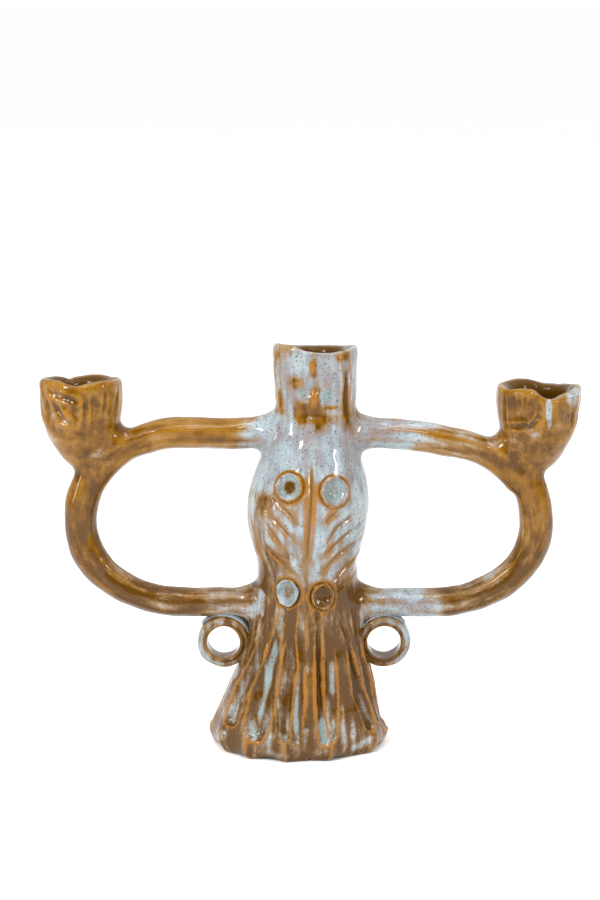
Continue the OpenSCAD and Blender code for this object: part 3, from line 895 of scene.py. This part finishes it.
markGlaze(skin)
markWiped()
normals = skin.mesh.attributes.new("fusedNormal", "FLOAT_VECTOR", "POINT")
normals.data.foreach_set("vector", skin.no.astype(np.float32).ravel())
print("glaze marks done")

# A join: a point (x, z), the direction across it (x, z), and the reach in x and z and half depth it
# is cut in, in millimetres
def join(at, across, x, z, depth=15):
    return {"at": at, "across": across, "box": [x, (-depth, depth), z]}


joins = {
    "waist": join((0, 88), (0, 1), (-34, 34), (85, 91), 40),
    "neck": join((0, 162.3), (0, 1), (-18.6, 25), (160.5, 166), 24),
    "leftShoulderIn": join((-22.4, 151.2), (-0.979, 0.204), (-31, -12), (138, 166)),
    "rightShoulderIn": join((25.2, 151.2), (0.993, 0.116), (20, 31), (137, 166)),
    "leftShoulderOut": join((-31.5, 151.2), (-1, 0), (-34, -29), (138, 166)),
    "rightShoulderOut": join((33.5, 151.2), (1, 0), (31, 36), (138, 166)),
    "leftHipIn": join((-29.3, 69.7), (-0.986, 0.166), (-34, -24), (55, 85)),
    "rightHipIn": join((26.6, 69.7), (0.993, 0.117), (22, 32), (55, 85)),
    "leftHipOut": join((-38, 69.7), (-1, 0), (-41, -35), (55, 85)),
    "rightHipOut": join((35.5, 69.7), (1, 0), (32, 39), (55, 85)),
    "leftCupUpper": join((-80, 146.9), (-0.914, -0.407), (-89, -70), (130, 157)),
    "rightCupUpper": join((80, 142.8), (0.920, -0.391), (70, 89), (126, 153)),
    "leftCupLower": join((-103.1, 126.9), (0.407, 0.914), (-118, -88), (115, 138)),
    "rightCupLower": join((104.6, 120.2), (-0.242, 0.970), (90, 119), (108, 130)),
}


def joinSide(co, name):
    # positive beyond a join, in the direction across it
    join = joins[name]
    return ((co[:, 0] - join["at"][0] * mm) * join["across"][0]
            + (co[:, 2] - join["at"][1] * mm) * join["across"][1])


def pieceOf(co):
    # which named piece each place of the skin belongs to
    x, z = co[:, 0], co[:, 2]
    name = np.full(len(co), "skirt", dtype="U20")
    name[joinSide(co, "waist") > 0] = "torso"
    name[joinSide(co, "neck") > 0] = "neck_socket"
    for side, sign in (("left", -1), ("right", 1)):
        out = sign * x
        past = {k: joinSide(co, side + k) > 0 for k in
                ("ShoulderIn", "ShoulderOut", "HipIn", "HipOut", "CupUpper", "CupLower")}
        aboveHip = (z < 85 * mm) & (z > 55 * mm)
        name[(out > 12 * mm) & past["ShoulderIn"] & (z > 137 * mm)] = side + "_shoulder_coil"
        name[(out > 12 * mm) & past["HipIn"] & aboveHip] = side + "_hip_coil"
        name[past["ShoulderOut"] & (z > 115 * mm) & (out > 0)] = side + "_upper_branch"
        name[past["HipOut"] & (z < 115 * mm) & (out > 0)] = side + "_lower_branch"
        name[(out > 70 * mm) & (z > 108 * mm) & past["CupUpper"] & ~past["CupLower"]] = side + "_lower_branch"
        name[(out > 70 * mm) & (z > 112 * mm) & past["CupUpper"] & past["CupLower"]] = side + "_cup"
        name[(out > 85 * mm) & (z > 155 * mm)] = side + "_cup"
    foot = z < 55 * mm
    inner = np.abs(x) < 55 * mm
    name[foot & inner & (joinSide(co, "leftHipOut") < 0) & (joinSide(co, "rightHipOut") < 0)] = "skirt"
    name[(z < 52 * mm) & (np.abs(x) < 52 * mm) & (np.abs(x) > 30 * mm)] = "skirt"
    return name


def cutJoins(bm):
    for join in joins.values():
        (x0, x1), (y0, y1), (z0, z1) = join["box"]
        faces = []
        for f in bm.faces:
            c = f.calc_center_median() / mm
            if x0 < c.x < x1 and z0 < c.z < z1 and y0 < c.y < y1:
                faces.append(f)
        geom = list({v for f in faces for v in f.verts}) + list({e for f in faces for e in f.edges}) + faces
        bmesh.ops.bisect_plane(bm, geom=geom, dist=1e-7, plane_co=(join["at"][0] * mm, 0, join["at"][1] * mm),
                               plane_no=(join["across"][0], 0, join["across"][1]))


def boundaryLoops(edges):
    left = set(edges)
    loops = []
    while left:
        stack, loop = [left.pop()], []
        while stack:
            e = stack.pop()
            loop.append(e)
            for v in e.verts:
                for other in v.link_edges:
                    if other in left:
                        left.remove(other)
                        stack.append(other)
        loops.append(loop)
    return loops


def closeCuts(bm, annular):
    edges = [e for e in bm.edges if e.is_boundary]
    if annular is not None:
        ring = [e for e in edges if all(abs(v.co.z - annular) < 1e-5 for v in e.verts)]
        if len(boundaryLoops(ring)) == 2:
            bmesh.ops.bridge_loops(bm, edges=ring)
        edges = [e for e in bm.edges if e.is_boundary]
    bmesh.ops.holes_fill(bm, edges=edges, sides=0)
    return sum(1 for e in bm.edges if not e.is_manifold)


def partSkin():
    whole = bmesh.new()
    whole.from_mesh(skin.mesh)
    cutJoins(whole)
    cut = meshFrom(whole, "cutClay")
    centres = np.empty(len(cut.polygons) * 3)
    cut.polygons.foreach_get("center", centres)
    names = pieceOf(centres.reshape(-1, 3))
    pieces = {}
    for name in sorted(set(names)):
        bm = bmesh.new()
        bm.from_mesh(cut)
        bm.faces.ensure_lookup_table()
        bmesh.ops.delete(bm, geom=[f for f, n in zip(bm.faces, names) if n != name], context="FACES")
        surface = len(bm.faces)
        openEdges = closeCuts(bm, waistZ if name in ("skirt", "torso") else None)
        print("piece", name, surface, "faces", openEdges, "open edges")
        mesh = meshFrom(bm, name)
        fused = np.empty(len(mesh.vertices) * 3, np.float32)
        mesh.attributes["fusedNormal"].data.foreach_get("vector", fused)
        corner = np.empty(len(mesh.loops), int)
        mesh.loops.foreach_get("vertex_index", corner)
        wanted = fused.reshape(-1, 3)[corner]
        wanted[mesh.polygons[surface].loop_start if surface < len(mesh.polygons) else len(corner):] = 0
        mesh.attributes.remove(mesh.attributes["fusedNormal"])
        mesh.polygons.foreach_set("use_smooth", np.ones(len(mesh.polygons), bool))
        mesh.normals_split_custom_set(wanted)
        pieces[name] = linked(mesh, name + "Clay")
    bpy.data.meshes.remove(cut)
    return pieces


pieces = partSkin()

# Half of a ring's section: distance out from the hole and depth towards the front, in millimetres
ringSection = [(0, 0), (0, 4.6), (0.2, 5.8), (0.7, 6.3), (1.3, 6.3), (1.75, 5.95), (2.05, 5.5), (2.4, 5.5),
               (3.0, 5.9), (3.7, 5.8), (4.35, 5.2), (4.7, 4.0), (4.8, 0)]
ringBlue = {"left_ring": (200, 0.42), "right_ring": (20, 0.6)}    # bluest direction, how much
straps = {"left_ring_strap": {"ring": "left_ring", "from": -30, "to": 142},
          "right_ring_strap": {"ring": "right_ring", "from": 40, "to": 210}}
strapThick = 1.25
strapWide = 5.2


def finish(bm, name, wobbleSize, seed, amount, blue=None):
    bmesh.ops.remove_doubles(bm, verts=bm.verts, dist=1e-6)
    bmesh.ops.recalc_face_normals(bm, faces=bm.faces)
    body = Skin(meshFrom(bm, name))
    offset = Vector((seed * 3.3, seed * 1.7, seed * 5.1))
    body.push(np.array([noise.noise(Vector(c) / wobbleSize + offset) for c in body.co]) * amount)
    markGlaze(body, fine=2, broad=6, fineRange=0.3, broadRange=0.5)
    if blue is not None:
        body.mesh.attributes.remove(body.mesh.attributes["blueAndSheenAmount"])
        addMark(body.mesh, "blueAndSheenAmount", blue(body.co))
    addMark(body.mesh, "wiped", np.zeros(len(body.co)))
    body.mesh.polygons.foreach_set("use_smooth", np.ones(len(body.mesh.polygons), bool))
    return linked(body.mesh, name)


def softened(piece):
    soft = piece.modifiers.new("soft", "SUBSURF")
    soft.levels = soft.render_levels = 1
    return piece


def ringPiece(node, seed):
    low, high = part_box(node)
    centre = (low + high) / 2
    hole = (high.z - low.z) / 2 - 4.25 * mm
    half = [(hole + r * mm, -y * mm) for r, y in ringSection]
    outline = half + [(r, -y) for r, y in half[-2:0:-1]]
    bm = bmesh.new()
    verts = [bm.verts.new((r, y, 0)) for r, y in outline]
    edges = [bm.edges.new((verts[i], verts[(i + 1) % len(verts)])) for i in range(len(verts))]
    bmesh.ops.spin(bm, geom=verts + edges, cent=(0, 0, 0), axis=(0, 1, 0),
                   angle=2 * math.pi, steps=88, use_merge=True)
    centre.z -= 0.5 * mm
    bmesh.ops.translate(bm, vec=centre, verts=bm.verts)
    toward, most = ringBlue[node]

    def blue(co):
        out = np.hypot(co[:, 0] - centre.x, co[:, 2] - centre.z) - hole
        turn = np.arctan2(co[:, 2] - centre.z, co[:, 0] - centre.x) - math.radians(toward)
        return 0.12 + most * (0.55 + 0.45 * np.cos(turn)) * np.clip((out / mm - 1.5) / 1.0, 0, 1)

    return softened(finish(bm, node + "Clay", 9 * mm, seed, 0.5 * mm, blue))


def strapPiece(node, seed):
    strap = straps[node]
    low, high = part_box(strap["ring"])
    x, z = (low.x + high.x) / 2, (low.z + high.z) / 2
    reach = (high.z - low.z) / 2 + 0.5 * mm
    bm = bmesh.new()
    count = 44
    frames = []
    for i in range(count + 1):
        a = math.radians(strap["from"] + (strap["to"] - strap["from"]) * i / count)
        out = Vector((math.cos(a), 0, math.sin(a)))
        taper = 0.55 + 0.45 * math.sin(math.pi * min(max(i / count, 0.06), 0.94))
        along = Vector((-math.sin(a), 0, math.cos(a)))
        turn = Matrix((along, Vector((0, 1, 0)), out)).transposed().to_4x4()
        size = Matrix.Diagonal((1, strapWide * taper * mm, strapThick * taper * mm, 1))
        frames.append(Matrix.Translation(Vector((x, 0, z)) + out * reach) @ turn @ size)
    sweep(bm, frames, 28)
    return finish(bm, node + "Clay", 8 * mm, seed, 0.4 * mm, lambda co: np.full(len(co), 0.72))


def discPiece(node):
    disc = discs[node]
    bm = bmesh.new()
    turnProfile(bm, [(r * disc["radius"] * mm, h * mm) for r, h in discBowl], 64)
    for v in bm.verts:
        angle = math.atan2(v.co.y, v.co.x)
        v.co.z += 0.35 * mm * math.sin(2 * angle + disc["seed"]) * (v.co.z > 0)
        v.co.x *= disc["narrow"]
    bmesh.ops.transform(bm, matrix=discFrame(node), verts=bm.verts)
    centre = np.array(discFrame(node).translation)
    dish, rim, middle = disc["blue"]

    def blue(co):
        away = np.linalg.norm(co - centre, axis=1) / (disc["radius"] * mm)
        return np.interp(away, (0.46, 0.66, 0.86, 0.98), (middle, dish, dish, rim))

    return softened(finish(bm, node + "Clay", 3.2 * mm, disc["seed"] + 20, 0.75 * mm, blue))


def floorPiece():
    bm = bmesh.new()
    low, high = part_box("neck_floor")
    thick = 1.6 * mm
    place = Matrix.Translation((neckLean, 0, high.z - thick / 2))
    bmesh.ops.create_cone(bm, cap_ends=True, segments=72, radius1=boreR + 0.6 * mm, radius2=boreR + 0.6 * mm,
                          depth=thick, matrix=place)
    return finish(bm, "neck_floorClay", 6 * mm, 9, 0.1 * mm)


pieces["left_ring"] = ringPiece("left_ring", 5)
pieces["right_ring"] = ringPiece("right_ring", 6)
for i, node in enumerate(straps):
    pieces[node] = strapPiece(node, 7 + i)
for node in discs:
    pieces[node] = discPiece(node)
pieces["neck_floor"] = floorPiece()

glaze = {
    "deepAmber": (0.074, 0.030, 0.001),
    "amber": (0.155, 0.064, 0.002),
    "honey": (0.225, 0.105, 0.009),
    "milky": (0.26, 0.165, 0.08),
    "rust": (0.27, 0.107, 0.012),
    "ice": (0.245, 0.305, 0.33),
    "white": (0.37, 0.395, 0.40),
    "lavender": (0.20, 0.19, 0.20),
    "aqua": (0.165, 0.255, 0.24),
    "speck": (0.03, 0.045, 0.07),
    # painted shade: the dark brown laid down inside the sockets; the bare clay also uses it for its dark
    # flecks
    "socketShadeAndClayFleck": (0.07, 0.03, 0.002),
    "clay": (0.20, 0.115, 0.06),
    "roughness": 0.22,
    "specular": 0.06,
    "coat": 0.42,
}


class Wire:
    # a socket that does arithmetic by adding nodes
    def __init__(self, tree, socket):
        self.tree, self.socket = tree, socket

    def node(self, kind, settings, inputs, out=0):
        node = self.tree.nodes.new(kind)
        for key, value in settings.items():
            setattr(node, key, value)
        for key, value in inputs.items():
            if isinstance(value, Wire):
                self.tree.links.new(value.socket, node.inputs[key])
            else:
                node.inputs[key].default_value = value
        return Wire(self.tree, node.outputs[out])

    def math(self, operation, a, b=0.0):
        return self.node("ShaderNodeMath", {"operation": operation}, {0: a, 1: b})

    def __add__(self, other):
        return self.math("ADD", self, other)

    def __radd__(self, other):
        return self.math("ADD", other, self)

    def __sub__(self, other):
        return self.math("SUBTRACT", self, other)

    def __rsub__(self, other):
        return self.math("SUBTRACT", other, self)

    def __mul__(self, other):
        return self.math("MULTIPLY", self, other)

    def __rmul__(self, other):
        return self.math("MULTIPLY", other, self)

    def step(self, low, high):
        # 0 below low, 1 above high, soft between
        return self.node("ShaderNodeMapRange", {"interpolation_type": "SMOOTHSTEP"},
                         {"Value": self, "From Min": low, "From Max": high})

    def mixed(self, a, b):
        # colour a where this is 0 and b where it is 1
        def full(c):
            return c if isinstance(c, Wire) else (*c, 1)
        return self.node("ShaderNodeMix", {"data_type": "RGBA"}, {0: self, 6: full(a), 7: full(b)}, 2)


def newMaterial(name):
    # a material with its shader, and a wire and a place to start its nodes from
    material = bpy.data.materials.new(name)
    material.use_nodes = True
    start = Wire(material.node_tree, None)
    place = start.node("ShaderNodeTexCoord", {}, {}, "Object")
    return material, material.node_tree.nodes["Principled BSDF"], start, place


def glazeMaterial(name, rustShift=0.0):
    material, shader, start, place = newMaterial(name)
    tree = material.node_tree

    def clouds(scale, detail, stretch=(1, 1, 1), shift=(0, 0, 0)):
        moved = start.node("ShaderNodeMapping", {}, {"Vector": place, "Scale": stretch, "Location": shift})
        return start.node("ShaderNodeTexNoise", {}, {"Vector": moved, "Scale": scale, "Detail": detail,
                                                     "Roughness": 0.55})

    def mark(attribute):
        return start.node("ShaderNodeAttribute", {"attribute_name": attribute}, {}, "Fac")

    blue, relief, pool = mark("blueAndSheenAmount"), mark("edgeBreak"), mark("pooling")
    inside, wiped = mark("socketShadeDepth"), mark("wiped")
    edge = relief.math("MAXIMUM", relief, 0.0)
    broad = clouds(48, 3)
    middle = clouds(170, 4, shift=(0.3, 0.1, 0.7))
    grain = clouds(760, 2, shift=(0.5, 0.9, 0.2))
    specks = clouds(1250, 1, shift=(0.8, 0.2, 0.4))
    # runs hang down the trunk and the cups and follow the arms
    runScale = 260
    hanging = clouds(runScale, 3, stretch=(1, 1, runStretch), shift=(0.1, 0.4, 0.6))
    flow = start.node("ShaderNodeAttribute", {"attribute_name": "flow"}, {}, "Vector")
    followed = start.node("ShaderNodeTexNoise", {}, {"Vector": flow, "Scale": runScale, "Detail": 3,
                                                     "Roughness": 0.55})
    runs = hanging + (followed - hanging) * mark("armShare")
    across = start.node("ShaderNodeSeparateXYZ", {}, {0: place}, "X")
    up = start.node("ShaderNodeSeparateXYZ", {}, {0: place}, "Z")
    onCup = across.math("ABSOLUTE", across).step(0.078, 0.095) * up.step(0.12, 0.14)
    runs = runs + (middle - runs) * (onCup * 0.7)

    # brown glaze: deep where thick, honey and milky where the overglaze thins out; low darkens it towards the
    # foot as painted shade
    low = up.step(0.15, 0.06)
    depth = (runs + middle * 0.5 + grain * 0.2 + broad * 0.5 - pool * 0.2 + edge * 0.12 - low * 0.28)
    brown = depth.step(0.88, 1.16).mixed(glaze["deepAmber"], glaze["amber"])
    brown = depth.step(1.08, 1.36).mixed(brown, glaze["honey"])
    milk = (broad * 0.6 + runs * 0.9 + grain * 0.2 + blue * 0.7).step(0.90, 1.25)
    brown = (milk * 0.7).mixed(brown, glaze["milky"])

    # pale overglaze
    thick = (broad + (middle - 0.5) * 0.5 + (runs - 0.5) * 0.6).step(0.36, 0.62)
    pale = thick.mixed(glaze["lavender"], glaze["ice"])
    pale = (runs * 0.7 + grain * 0.2 + broad * 0.4).step(0.66, 0.9).mixed(pale, glaze["white"])
    pale = ((pool * 0.5 + runs * 0.5).step(0.3, 0.75) * 0.8).mixed(pale, glaze["aqua"])
    pale = ((grain * 0.7 + middle * 0.5).step(0.66, 0.76) * 0.5).mixed(pale, glaze["milky"])
    pale = (specks.step(0.60, 0.70) * 0.75).mixed(pale, glaze["speck"])

    cover = (blue + (broad - 0.5) * 0.8 + (middle - 0.5) * 0.6 + (runs - 0.5) * 1.25
             + (grain - 0.5) * 0.3 + pool * 0.05 - edge * 0.24 - wiped * 0.8 - rustShift)
    cover = cover.step(0.22, 0.68) * (1 - inside)
    colour = cover.mixed(brown, pale)
    rust = (edge * 0.8 + wiped * 0.95 + rustShift + (grain - 0.5) * 0.7 + (middle - 0.5) * 0.6 - 0.1)
    rust = rust.step(0.36, 0.84) * (1 - inside)
    colour = (rust * 0.9).mixed(colour, (wiped - 0.2).step(0.2, 0.7).mixed(glaze["rust"], glaze["amber"]))
    colour = (specks.step(0.62, 0.74) * 0.4).mixed(colour, glaze["deepAmber"])
    # painted shade: the colour goes dark brown down inside the sockets
    colour = inside.mixed(colour, glaze["socketShadeAndClayFleck"])
    tree.links.new(colour.socket, shader.inputs["Base Color"])

    height = (middle * 0.5 + grain * 0.22 + cover * 0.25)
    bump = start.node("ShaderNodeBump", {}, {"Strength": 0.35, "Distance": 0.0006, "Height": height})
    tree.links.new(bump.socket, shader.inputs["Normal"])
    shader.inputs["Roughness"].default_value = glaze["roughness"]
    shader.inputs["IOR"].default_value = 1.5
    shader.inputs["Specular IOR Level"].default_value = glaze["specular"]
    tree.links.new((glaze["coat"] * (1 - inside * 0.6)).socket, shader.inputs["Coat Weight"])
    shader.inputs["Coat Roughness"].default_value = 0.03
    return material


def clayMaterial():
    material, shader, start, place = newMaterial("bareClay")
    grain = start.node("ShaderNodeTexNoise", {}, {"Vector": place, "Scale": 500, "Detail": 4})
    colour = grain.step(0.3, 0.7).mixed(glaze["clay"], glaze["socketShadeAndClayFleck"])
    material.node_tree.links.new(colour.socket, shader.inputs["Base Color"])
    shader.inputs["Roughness"].default_value = 0.7
    return material


slotLooks = {
    "glaze_amber": glazeMaterial("amberGlaze"),
    "glaze_blue": glazeMaterial("blueGlaze"),
    "glaze_rust": glazeMaterial("rustGlaze", rustShift=0.12),
    "bare_clay": clayMaterial(),
}
slotOf = {s["node"]: s["material_slot"] for s in frame["record"]["subparts"]}
for node, piece in pieces.items():
    piece.data.materials.append(slotLooks[slotOf[node]])
    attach(piece, "root")
    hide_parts(node)
print("pieces", len(pieces))

view = {
    "distance": 1.0,
    "elevation": 15.0,
    "lens": 85.12,           # millimetres, before a sensor of 36
    "target": (-0.00437, 0, 0.094),
    "aimAbove": 0.0479323,    # how far the aim passes over the target, as a slope
}


def addCamera():
    data = bpy.data.cameras.new("camera")
    data.sensor_width = 36
    data.lens = view["lens"]
    camera = bpy.data.objects.new("camera", data)
    bpy.context.scene.collection.objects.link(camera)
    rise = math.radians(view["elevation"])
    x, y, z = view["target"]
    camera.location = (x, y - view["distance"] * math.cos(rise), z + view["distance"] * math.sin(rise))
    pitch = rise - math.atan(view["aimAbove"])
    camera.rotation_euler = (math.pi / 2 - pitch, 0, 0)
    bpy.context.scene.camera = camera


def addFloor():
    bm = bmesh.new()
    bmesh.ops.create_grid(bm, x_segments=1, y_segments=1, size=40)
    floor = linked(meshFrom(bm, "floor"), "floor")
    material, shader, _, _ = newMaterial("floor")
    shader.inputs["Base Color"].default_value = (0.97, 0.97, 0.97, 1)
    shader.inputs["Roughness"].default_value = 0.9
    floor.data.materials.append(material)


# Softboxes: place, width and height in metres, and power in watts; all point at lampAim
lampAim = Vector((0, 0, 0.10))
softboxes = {
    "key": {"place": (-0.70, -0.95, 0.85), "size": (0.24, 0.34), "power": 12},
    "side": {"place": (1.0, -0.75, 0.60), "size": (0.14, 0.40), "power": 7},
    "low": {"place": (-1.2, -0.5, 0.30), "size": (0.10, 0.34), "power": 3.0},
    "middle": {"place": (0.15, -0.9, 1.10), "size": (0.30, 0.10), "power": 4.0},
    "top": {"place": (0.1, -0.1, 1.2), "size": (0.6, 0.25), "power": 4.0},
}
studio = {
    "sunStrength": 0.70, "sunAngle": 40, "sunPlace": (-0.4, -0.7, 1.2),
    "front": 0.16, "back": 1.11,    # brightness of the room before and behind the piece
}


def addSoftbox(name, box):
    data = bpy.data.lights.new(name, "AREA")
    data.shape = "RECTANGLE"
    data.size, data.size_y = box["size"]
    data.energy = box["power"]
    lamp = bpy.data.objects.new(name, data)
    lamp.location = box["place"]
    lamp.rotation_euler = (lampAim - Vector(box["place"])).to_track_quat("-Z", "Y").to_euler()
    bpy.context.scene.collection.objects.link(lamp)


addCamera()
addFloor()
for name, box in softboxes.items():
    addSoftbox(name, box)
sun = bpy.data.lights.new("sun", "SUN")
sun.energy = studio["sunStrength"]
sun.angle = math.radians(studio["sunAngle"])
sunLamp = bpy.data.objects.new("sun", sun)
sunLamp.rotation_euler = Vector(studio["sunPlace"]).to_track_quat("Z", "Y").to_euler()
bpy.context.scene.collection.objects.link(sunLamp)

# a room that is dim on the camera's side and white behind and above the piece
world = bpy.data.worlds.new("studio")
world.use_nodes = True
background = world.node_tree.nodes["Background"]
air = Wire(world.node_tree, None)
toward = air.node("ShaderNodeTexCoord", {}, {}, "Generated")
height = air.node("ShaderNodeSeparateXYZ", {}, {0: toward}, "Z")
depth = air.node("ShaderNodeSeparateXYZ", {}, {0: toward}, "Y")
bright = (depth + height * 0.6).step(-0.25, 0.45) * (studio["back"] - studio["front"]) + studio["front"]
world.node_tree.links.new(bright.socket, background.inputs["Strength"])
background.inputs["Color"].default_value = (1, 1, 1, 1)
bpy.context.scene.world = world
bpy.context.scene.view_settings.view_transform = "Standard"
